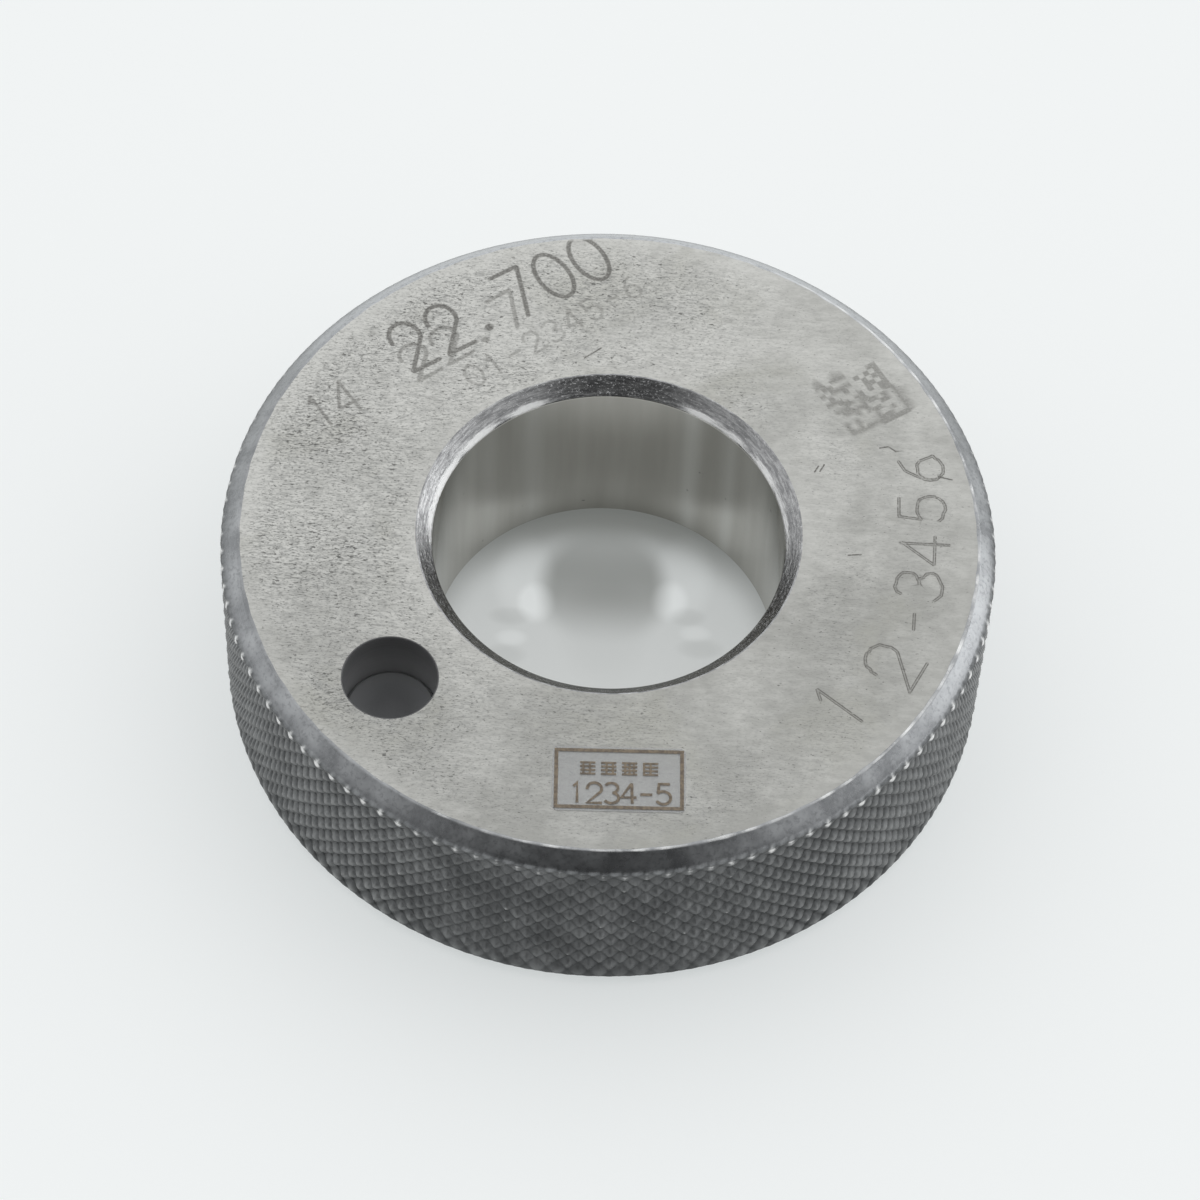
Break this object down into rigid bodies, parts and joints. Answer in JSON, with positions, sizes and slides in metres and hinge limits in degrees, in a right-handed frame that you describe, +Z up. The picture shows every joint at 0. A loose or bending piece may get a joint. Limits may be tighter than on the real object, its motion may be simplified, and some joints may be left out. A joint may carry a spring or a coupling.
{
  "type": "master ring gauge",
  "caption": "Knurled steel master ring gauge with a lapped bore, chamfered mouths, a dark plug in a blind hole and a clear date label.",
  "frame": {"origin": "centre of the lower flat face, on the bore's axis", "axes": "+Z up along the bore to the marked face, -Y towards the date label, +X to its right"},
  "size_m": [0.05, 0.05, 0.0151],
  "materials": {
    "ground_steel": "ground faces with fine pits, dark knurled rim, mirror-lapped bore",
    "black_plug": "matt black moulded plug",
    "label_film": "thin clear film with brown print"
  },
  "bodies": {
    "root": {"ring_body": "ground_steel", "marker_plug": "black_plug", "date_label": "label_film"}
  },
  "joints": []
}
